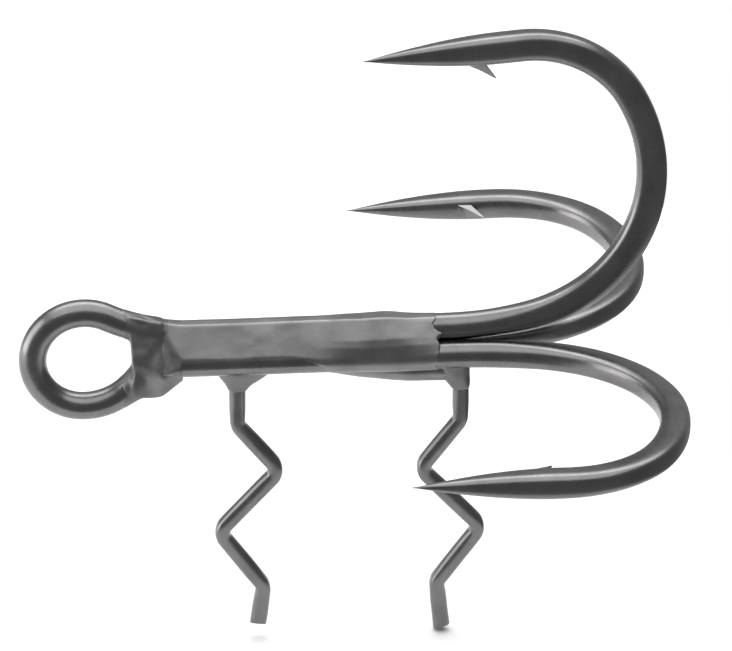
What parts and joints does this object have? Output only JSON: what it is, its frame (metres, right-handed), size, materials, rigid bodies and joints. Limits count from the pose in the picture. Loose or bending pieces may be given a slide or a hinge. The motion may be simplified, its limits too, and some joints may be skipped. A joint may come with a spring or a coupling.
{
  "type": "treble hook",
  "caption": "Treble fishing hook with a closed line eye, brazed shank and barbed points, and wavy spikes under the shank that hold a soft bait.",
  "frame": {"origin": "centre of the eye, on the axis a line or ring runs along", "axes": "+X along the shank from the eye to the bends, +Z towards the eyed hook's point, +Y towards the left side hook, so the spikes hang along -Z and the eye's hole runs along Y"},
  "size_m": [0.0373, 0.0384, 0.0376],
  "materials": {
    "hook_wire": "satin black-nickel plate on round wire",
    "spike_wire": "satin black-nickel plate on fine wire",
    "braze": "dull plated braze, slightly lumpy"
  },
  "bodies": {
    "root": {"eyed_hook": "hook_wire", "left_side_hook": "hook_wire", "right_side_hook": "hook_wire", "rear_spike": "spike_wire", "front_spike": "spike_wire", "shank_braze": "braze", "eye_braze": "braze", "rear_spike_braze": "braze", "front_spike_braze": "braze"}
  },
  "joints": []
}
